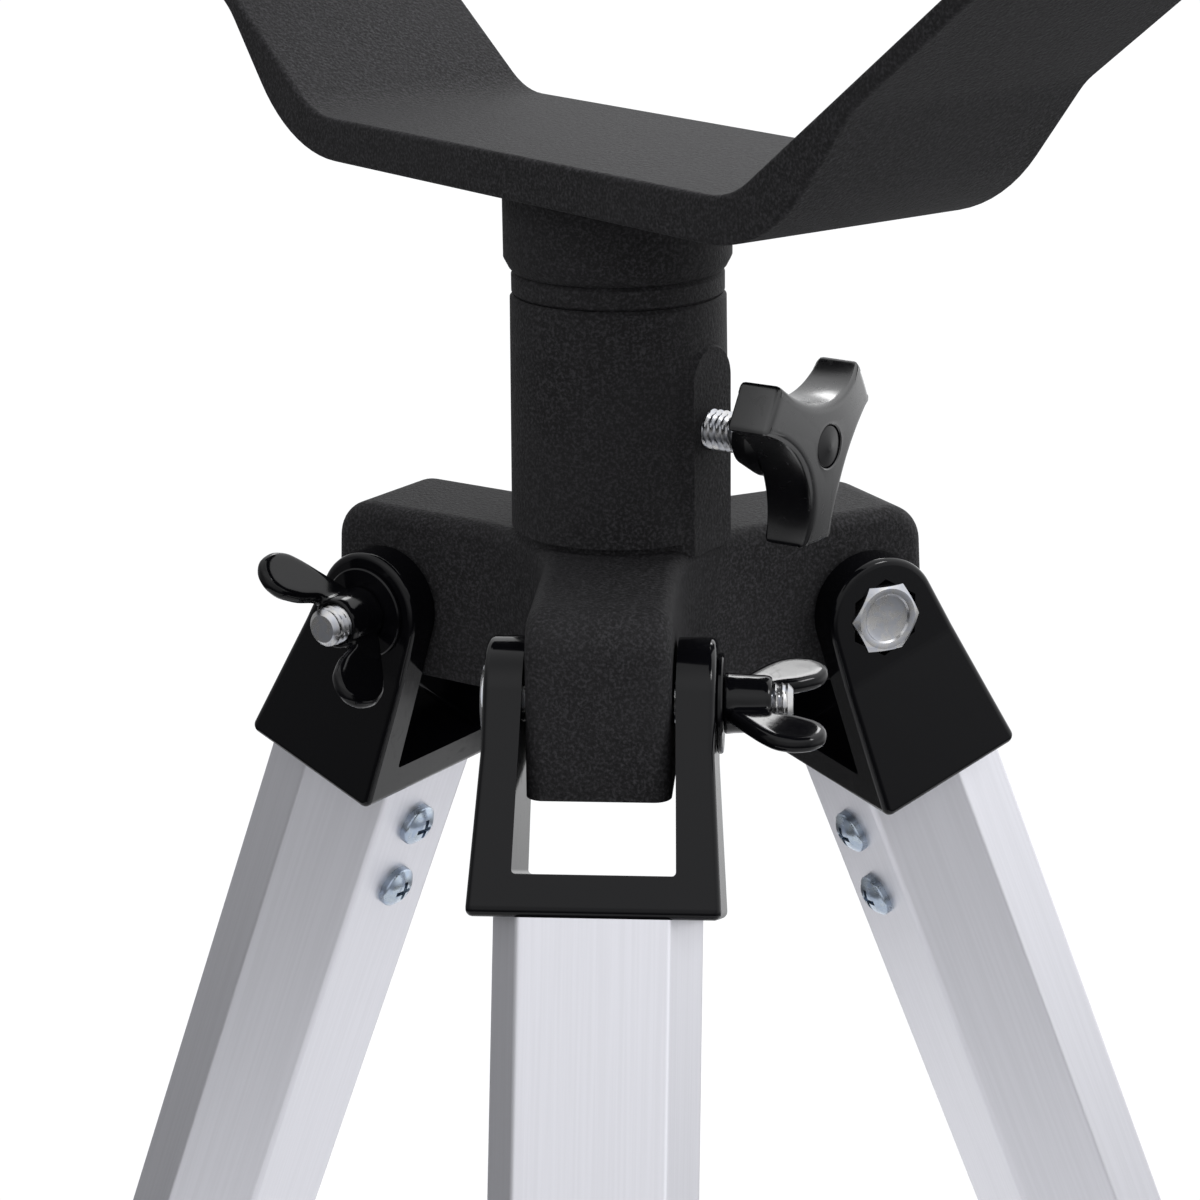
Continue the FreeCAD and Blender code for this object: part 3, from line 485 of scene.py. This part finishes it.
def wrinkle_paint(finishes):
    """Matte black wrinkle paint: fine raised grains, a random speckle and broad patches."""
    shader = Shader("wrinkle_black_paint")
    grain_mm = finishes.paint_grain_mm
    cells = shader.cells(grain_mm)
    fine = shader.noise(grain_mm * 0.8, detail=5, roughness=0.65)
    broad = shader.noise(18.0, detail=2)
    height = cells * 0.6 + fine * 0.7
    base = tuple(finishes.paint_colour)
    speckle = shader.ramp(fine, 0.42, 0.70)
    mottled = shader.blend(speckle, scaled(base, 0.45), scaled(base, 2.6))
    patchy = shader.blend(shader.ramp(broad, 0.3, 0.7) * 0.3, mottled, scaled(base, 1.3))
    shader.bump(height, 0.18, 1.0)
    return shader.finish(Base_Color=patchy, Roughness=0.62 + 0.20 * fine,
                         Specular_IOR_Level=0.14)


def gloss_plastic(name, finishes, shine, dullness):
    """Glossy moulded black with a slight ripple, fine scuffs and dust."""
    shader = Shader(name)
    ripple = shader.noise(9.0, detail=2)
    dust = shader.ramp(shader.noise(0.5, detail=5), 0.66, 0.84)
    scuff = shader.ramp(shader.noise(2.2, detail=6, distortion=1.5), 0.56, 0.70)
    base = tuple(finishes.plastic_colour)
    colour = shader.blend(dust * 0.25, base, scaled(base, 4.0))
    shader.bump(ripple, 0.05, 0.4)
    return shader.finish(Base_Color=colour, Specular_IOR_Level=shine,
                         Roughness=dullness + 0.07 * scuff + 0.05 * dust)


def anodised(name, finishes, leg):
    """Satin anodised extrusion: faint die lines along the leg, a fine etched grain."""
    shader = Shader(name)
    place = leg_frame(leg).inverted().to_3x3()
    across, side, along = (shader.dot(shader.here, place[row]) for row in range(3))
    lined = shader.node("ShaderNodeCombineXYZ", None,
                        {"X": across, "Y": side, "Z": 0.012 * along}).outputs[0]
    die_lines = shader.noise(0.55, detail=4, vector=lined)
    broad_lines = shader.noise(4.0, detail=2, vector=lined)
    etch = shader.noise(0.30, detail=3)
    base = tuple(finishes.leg_colour)
    colour = shader.blend(shader.ramp(die_lines, 0.35, 0.65), scaled(base, 0.975),
                          scaled(base, 1.02))
    shader.bump(0.3 * die_lines + 0.5 * etch, 0.012, 0.35)
    return shader.finish(Base_Color=colour, Metallic=0.9,
                         Roughness=0.36 + 0.05 * broad_lines + 0.08 * etch)


def zinc_plate(name, base):
    """Bright zinc plate with a cloudy bloom and darker pits."""
    shader = Shader(name)
    cloud = shader.noise(1.6, detail=4, distortion=0.6)
    pits = shader.ramp(shader.noise(0.35, detail=4), 0.60, 0.72)
    tinted = shader.blend(shader.ramp(cloud, 0.35, 0.65), base,
                          (base[0] * 0.86, base[1] * 0.90, min(1.0, base[2] * 1.0)))
    shader.bump(cloud * 0.5 + pits * 0.2, 0.02, 0.5)
    return shader.finish(Base_Color=shader.blend(pits * 0.5, tinted, scaled(base, 0.55)),
                         Metallic=1.0, Roughness=0.20 + 0.16 * cloud)


def turned_steel():
    """Fine turned steel for the spindle."""
    shader = Shader("turned_steel")
    lines = shader.noise(0.25, detail=3, vector=shader.stretched((0.15, 0.15, 1.0)))
    shader.bump(lines, 0.02, 0.6)
    return shader.finish(Base_Color=shader.blend(lines, (0.36, 0.36, 0.37), (0.60, 0.60, 0.61)),
                         Metallic=1.0, Roughness=0.22 + 0.15 * lines)


def nylon():
    """Natural nylon, slightly cloudy."""
    shader = Shader("nylon")
    cloud = shader.noise(5.0, detail=4)
    shader.bump(shader.noise(0.8, detail=3), 0.03, 0.4)
    return shader.finish(Base_Color=shader.blend(cloud, (0.70, 0.68, 0.60), (0.82, 0.80, 0.74)),
                         Roughness=0.42 + 0.12 * cloud)


def rubber():
    """Matte moulded rubber, dusty in patches."""
    shader = Shader("black_rubber")
    skin = shader.noise(0.7, detail=5)
    dust = shader.ramp(shader.noise(7.0, detail=5), 0.48, 0.72)
    shader.bump(skin, 0.08, 0.6)
    return shader.finish(Base_Color=shader.blend(dust * 0.5, (0.014, 0.014, 0.014),
                                                 (0.06, 0.056, 0.052)),
                         Roughness=0.72 + 0.14 * skin)


def floor_finish(settings):
    """Pale matte floor with painted shade: darker under the mount so that its shadows show, paler out to the rim.
    """
    shader = Shader("studio_floor")
    reach = shader.node("ShaderNodeVectorMath", {"operation": "LENGTH"}, {0: shader.here})
    # painted shade under the mount: 0.8 of the floor colour within 0.3 m of the middle, rising to the full colour
    # at the floor's rim
    painted_shade_fade = shader.ramp(reach.outputs["Value"], 0.30, settings.floor_radius, 0.0, 1.0)
    mottle = 0.04 * shader.noise(120.0, detail=3)
    pale = tuple(settings.floor_colour)
    return shader.finish(Base_Color=shader.blend(painted_shade_fade + mottle, scaled(pale, 0.80), pale),
                         Roughness=0.9, Specular_IOR_Level=0.1)


def finish(name):
    """A material by name, made on first use."""
    if name not in MADE:
        MADE[name] = make_finish(name, bpy.context.scene.mount_finishes)
    return MADE[name]


def make_finish(name, finishes):
    if name.startswith("anodised_leg_"):
        return anodised(name, finishes, int(name[-1]))
    return {"wrinkle_black_paint": lambda: wrinkle_paint(finishes),
            "gloss_black_plastic": lambda: gloss_plastic(name, finishes, 0.15, 0.10),
            "satin_black_plastic": lambda: gloss_plastic(name, finishes, 0.60, 0.22),
            "zinc_plated_steel": lambda: zinc_plate(name, tuple(finishes.zinc_colour)),
            "blue_zinc_steel": lambda: zinc_plate(name, tuple(finishes.screw_colour)),
            "turned_steel": turned_steel, "nylon": nylon, "black_rubber": rubber}[name]()


# --- settings -----------------------------------------------------------------

def colour_setting(name, description, default):
    return FloatVectorProperty(name=name, description=description, default=default, size=3,
                               min=0, max=1, subtype="COLOR")


class MountFinishes(bpy.types.PropertyGroup):
    """Colours and grain of the mount's finishes."""
    paint_colour: colour_setting("Paint", "Base colour of the wrinkle paint",
                                 (0.0115, 0.0112, 0.0122))
    paint_grain_mm: FloatProperty(name="Paint grain", description="Size of the paint's grains in "
                                  "millimetres", default=0.55, min=0.1, max=3)
    plastic_colour: colour_setting("Plastic", "Base colour of the glossy mouldings",
                                   (0.0018, 0.0018, 0.0024))
    leg_colour: colour_setting("Legs", "Colour of the anodised legs", (0.565, 0.565, 0.60))
    zinc_colour: colour_setting("Zinc", "Colour of the bolts and studs", (0.37, 0.365, 0.36))
    screw_colour: colour_setting("Screws", "Colour of the bracket screws", (0.36, 0.41, 0.46))


class MountSizes(bpy.types.PropertyGroup):
    """Sizes of details that the plain model leaves out, in millimetres."""
    thread_depth: FloatProperty(name="Thread depth", description="Depth of the screw threads",
                                default=0.55, min=0.1, max=1)
    nut_voxel: FloatProperty(name="Wing nut fineness", description="Grid that the wing nuts "
                             "are melted on", default=0.27, min=0.1, max=1)
    foot_grooves: IntProperty(name="Foot grooves", description="Grooves round each rubber foot",
                              default=4, min=0, max=6)


class MountStudio(bpy.types.PropertyGroup):
    """Floor, light and camera."""
    floor_colour: colour_setting("Floor", "Colour of the studio floor", (0.80, 0.80, 0.805))
    floor_radius: FloatProperty(name="Floor radius", description="Radius of the round floor",
                                default=0.8, min=0.5, max=50, unit="LENGTH")
    base_level: FloatProperty(name="Surround", description="Brightness of the surroundings all "
                              "round", default=0.5, min=0, max=10)
    side_level: FloatProperty(name="Side", description="Extra brightness on the bright side",
                              default=1.35, min=0, max=20)
    front_level: FloatProperty(name="Front", description="Extra brightness in front of the mount",
                               default=0.7, min=0, max=20)
    top_level: FloatProperty(name="Top", description="Extra brightness overhead", default=0.95,
                             min=0, max=20)
    key_power: FloatProperty(name="Key light", description="Power of the main soft light",
                             default=9.0, min=0, max=2000, subtype="POWER")
    lens: FloatProperty(name="Lens", description="Camera focal length", default=94.18, min=20,
                        max=300, unit="CAMERA")


# --- pieces -------------------------------------------------------------------

class MOUNT_OT_frame_finishes(bpy.types.Operator):
    """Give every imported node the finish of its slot"""
    bl_idname = "mount.frame_finishes"
    bl_label = "Finish the frame"

    def execute(self, context):
        slots = {entry["node"]: entry["material_slot"] for entry in frame["record"]["subparts"]}
        for name, node in NODES.items():
            slot = slots[name]
            if slot == "anodised_aluminium":
                slot = f"anodised_leg_{name[-1]}"
            if "knob" in name:
                slot = "satin_black_plastic"
            if name.startswith("bracket_screws"):
                slot = "blue_zinc_steel"
            node.data.materials.clear()
            node.data.materials.append(finish(slot))
        return {"FINISHED"}


class MOUNT_OT_knobs(bpy.types.Operator):
    """Make the star knobs of the azimuth lock, the altitude axis and the legs"""
    bl_idname = "mount.knobs"
    bl_label = "Star knobs"

    def execute(self, context):
        self.knob("azimuth_lock")
        for side in ("right", "left"):
            self.knob("altitude", f"_{side}")
        for leg in LEGS:
            self.knob("leg_lock", f"_{leg}")
        return {"FINISHED"}

    def knob(self, kind, mark=""):
        node, body = f"{kind}_knob{mark}", f"{kind}{mark}"
        hub_radius, cap_radius = KNOBS[kind]
        place, height, corner = seat(node, f"{kind}_turn{mark}", 3)
        reach = corner / math.hypot(1, ARM_TIP)
        mesh = make_mesh(f"{node}_moulding",
                         [Skin().loft(knob_rings(reach, height, hub_radius, cap_radius))])
        make_piece(f"{node}_moulding", mesh, place, "gloss_black_plastic", body, (node,), 30,
                   "satin_black_plastic")


class MOUNT_OT_studs(bpy.types.Operator):
    """Cut the threads of the azimuth lock's stud and the altitude studs"""
    bl_idname = "mount.studs"
    bl_label = "Threaded studs"

    def execute(self, context):
        place, length, radius = seat("azimuth_lock_stud", "azimuth_lock_turn", 1)
        rings = [ring_at(radius - 0.7, 0.0)]
        rings += thread_rings(radius, LOCK_PITCH, 0.5, length, thread_depth())
        self.stud("azimuth_lock_stud", rings, place, "azimuth_lock")
        for side in ("right", "left"):
            name = f"altitude_stud_{side}"
            place, length, neck = seat(name, f"altitude_turn_{side}", 1)
            rings = [ring_at(ALTITUDE_RADIUS - 0.8, 0.0)]
            rings += thread_rings(ALTITUDE_RADIUS, ALTITUDE_PITCH, 0.6, ALTITUDE_THREAD,
                                  thread_depth() * 1.2)
            rings += [ring_at(neck - 0.3, ALTITUDE_THREAD + 0.4),
                      ring_at(neck, ALTITUDE_THREAD + 0.7), ring_at(neck, length)]
            self.stud(name, rings, place, f"altitude_{side}")
        return {"FINISHED"}

    def stud(self, node, rings, place, body):
        mesh = make_mesh(f"{node}_threaded", [Skin().loft(rings)])
        make_piece(f"{node}_threaded", mesh, place, "zinc_plated_steel", body, (node,), 50)


class MOUNT_OT_hinge_bolts(bpy.types.Operator):
    """Make the hex-head hinge bolts with chamfered heads and threaded tips"""
    bl_idname = "mount.hinge_bolts"
    bl_label = "Hinge bolts"

    def execute(self, context):
        for leg in LEGS:
            node = f"pivot_bolt_{leg}"
            place, length, _ = seat(node, f"leg_fold_{leg}", 6)
            mesh = make_mesh(f"{node}_threaded", [Skin().loft(bolt_rings(length))])
            make_piece(f"{node}_threaded", mesh, place, "zinc_plated_steel", f"leg_{leg}",
                       (node,), 24)
        return {"FINISHED"}


class MOUNT_OT_wing_nuts(bpy.types.Operator):
    """Mould the wing nuts: hub and wings melted into one smooth shape"""
    bl_idname = "mount.wing_nuts"
    bl_label = "Wing nuts"

    def execute(self, context):
        sizes = context.scene.mount_sizes
        rough = make_mesh("wing_nut_rough", [Skin().loft(rings) for rings in wing_solids()])
        smooth = melted("wing_nut_rough", rough, sizes.nut_voxel, 5)
        for leg in LEGS:
            place, _, _ = seat(f"wing_nut_{leg}", f"wing_nut_turn_{leg}", 2)
            make_piece(f"wing_nut_{leg}_moulding", smooth.copy(), place, "gloss_black_plastic",
                       f"wing_nut_{leg}", (f"wing_nut_{leg}",), 80)
        return {"FINISHED"}


class MOUNT_OT_feet(bpy.types.Operator):
    """Mould the rubber feet: a lipped shoe with grooves and a sole level with the floor"""
    bl_idname = "mount.feet"
    bl_label = "Rubber feet"

    def execute(self, context):
        for leg in LEGS:
            place = leg_frame(leg)
            name = f"leg_foot_{leg}"
            mesh = make_mesh(f"{name}_moulding", [Skin().loft(self.rings(place))])
            make_piece(f"{name}_moulding", mesh, place, "black_rubber", f"lower_leg_{leg}",
                       (name,), 40)
        return {"FINISHED"}

    def rings(self, place):
        """From the lip's inside, over the lip, down the grooved skirt to the sole."""
        start, end = FOOT_START, FOOT_END
        skirt = [(-1.9, start + 6.0), (-1.9, start + 0.6), (-1.5, start), (0.0, start),
                 (0.7, start + 0.5), (1.0, start + 1.3)]
        count = bpy.context.scene.mount_sizes.foot_grooves
        pitch = (end - start - 4.0) / max(1, count)
        for groove in range(count):
            foot = start + 3.0 + groove * pitch
            flare = 1.0 + 1.6 * (foot - start) / (end - start)
            skirt += [(flare, foot), (flare - 0.75, foot + 0.35), (flare - 0.75, foot + 0.95),
                      (flare + 0.1, foot + 1.3)]
        skirt += [(2.7, end)]
        rings = [at_height(leg_outline(grow), -station) for grow, station in skirt]
        for grow, lift in ((3.05, 1.6), (2.9, 0.35), (2.3, 0.0), (-4.0, 0.0)):
            rings.append([self.to_floor(place, x, y, lift) for x, y in leg_outline(grow)])
        return rings

    def to_floor(self, place, x, y, lift):
        """Point of the leg's outline carried down the leg to a height above the floor."""
        down = place.to_3x3() @ Vector((0, 0, -1))
        here = place @ Vector((x * MM, y * MM, 0))
        run = (here.z - lift * MM) / -down.z
        return (x, y, -run / MM)


class MOUNT_OT_stage(bpy.types.Operator):
    """Lay the floor, set the light and the camera"""
    bl_idname = "mount.stage"
    bl_label = "Stage"

    def execute(self, context):
        studio = context.scene.mount_studio
        context.scene.view_settings.view_transform = "Standard"
        self.floor(studio)
        self.sky(context.scene, studio)
        self.lights(studio)
        self.camera(context.scene, studio)
        return {"FINISHED"}

    def floor(self, studio):
        skin = Skin().loft([ring_at(studio.floor_radius / MM, -0.6),
                            ring_at(studio.floor_radius / MM, -0.2)])
        mesh = make_mesh("studio_floor", [skin])
        mesh.materials.append(floor_finish(studio))
        floor = bpy.data.objects.new("studio_floor", mesh)
        bpy.context.scene.collection.objects.link(floor)

    def sky(self, scene, studio):
        """Bright white surroundings behind and above, dark on the side of the camera."""
        world = bpy.data.worlds.new("studio")
        scene.world = world
        world.use_nodes = True
        shader = Shader(None, world.node_tree)
        direction = shader.node("ShaderNodeTexCoord").outputs["Generated"]
        level = studio.base_level
        for heading, lift, start, full, extra in ((80, 4, -0.1, 0.85, studio.side_level),
                                                  (-48, 28, 0.5, 0.95, studio.front_level),
                                                  (0, 90, 0.3, 0.85, studio.top_level)):
            towards = (math.cos(math.radians(heading)) * math.cos(math.radians(lift)),
                       math.sin(math.radians(heading)) * math.cos(math.radians(lift)),
                       math.sin(math.radians(lift)))
            level = shader.ramp(shader.dot(direction, towards), start, full, 0.0, extra) + level
        level = level * shader.ramp(shader.dot(direction, (0, 0, 1)), -0.5, 0.0, 0.2, 1.0)
        seen = Number(shader, shader.node("ShaderNodeLightPath").outputs["Is Camera Ray"])
        strength = level * (1 - seen) + 1.05 * seen
        background = world.node_tree.nodes["Background"]
        background.inputs["Color"].default_value = (0.985, 0.99, 1.0, 1)
        shader.feed(background, {"Strength": strength})

    def lights(self, studio):
        head = joint_axis("azimuth_turn")[0]
        for name, (place, size, share) in LIGHTS.items():
            lamp = bpy.data.lights.new(name, "AREA")
            lamp.size = size
            lamp.energy = studio.key_power * share
            light = bpy.data.objects.new(name, lamp)
            light.location = head + Vector(place)
            light.rotation_euler = (head - light.location).to_track_quat("-Z", "Y").to_euler()
            bpy.context.scene.collection.objects.link(light)

    def camera(self, scene, studio):
        """The camera looks down on the head from in front of one leg."""
        data = bpy.data.cameras.new("camera")
        data.lens = studio.lens
        data.clip_end = 200
        camera = bpy.data.objects.new("camera", data)
        hinge_height = joint_axis("leg_fold_1")[0].z
        camera.location = Vector(CAMERA_SPOT) + Vector((0, 0, hinge_height))
        heading, pitch, roll = (Matrix.Rotation(math.radians(angle), 3, axis)
                                for axis, angle in CAMERA_TURNS)
        camera.rotation_euler = (heading @ pitch @ roll).to_euler()
        scene.collection.objects.link(camera)
        scene.camera = camera


PIECE_OPERATORS = ("frame_finishes", "knobs", "studs", "hinge_bolts", "wing_nuts", "feet")


class MOUNT_PT_panel(bpy.types.Panel):
    """The mount's settings and making steps"""
    bl_label = "Alt azimuth mount"
    bl_idname = "MOUNT_PT_panel"
    bl_space_type = "VIEW_3D"
    bl_region_type = "UI"
    bl_category = "Mount"

    def draw(self, context):
        for group in (context.scene.mount_finishes, context.scene.mount_sizes,
                      context.scene.mount_studio):
            box = self.layout.box()
            for key in type(group).__annotations__:
                box.prop(group, key)
        for step in (*PIECE_OPERATORS, "stage"):
            self.layout.operator(f"mount.{step}")


CLASSES = (MountFinishes, MountSizes, MountStudio, MOUNT_OT_frame_finishes, MOUNT_OT_knobs,
           MOUNT_OT_studs, MOUNT_OT_hinge_bolts, MOUNT_OT_wing_nuts, MOUNT_OT_feet,
           MOUNT_OT_stage, MOUNT_PT_panel)


def register():
    for cls in CLASSES:
        bpy.utils.register_class(cls)
    bpy.types.Scene.mount_finishes = PointerProperty(type=MountFinishes)
    bpy.types.Scene.mount_sizes = PointerProperty(type=MountSizes)
    bpy.types.Scene.mount_studio = PointerProperty(type=MountStudio)


def unregister():
    del bpy.types.Scene.mount_studio
    del bpy.types.Scene.mount_sizes
    del bpy.types.Scene.mount_finishes
    for cls in reversed(CLASSES):
        bpy.utils.unregister_class(cls)


def main():
    register()
    for step in PIECE_OPERATORS:
        getattr(bpy.ops.mount, step)()
    bpy.ops.mount.stage()


if __name__ == "__main__":
    main()
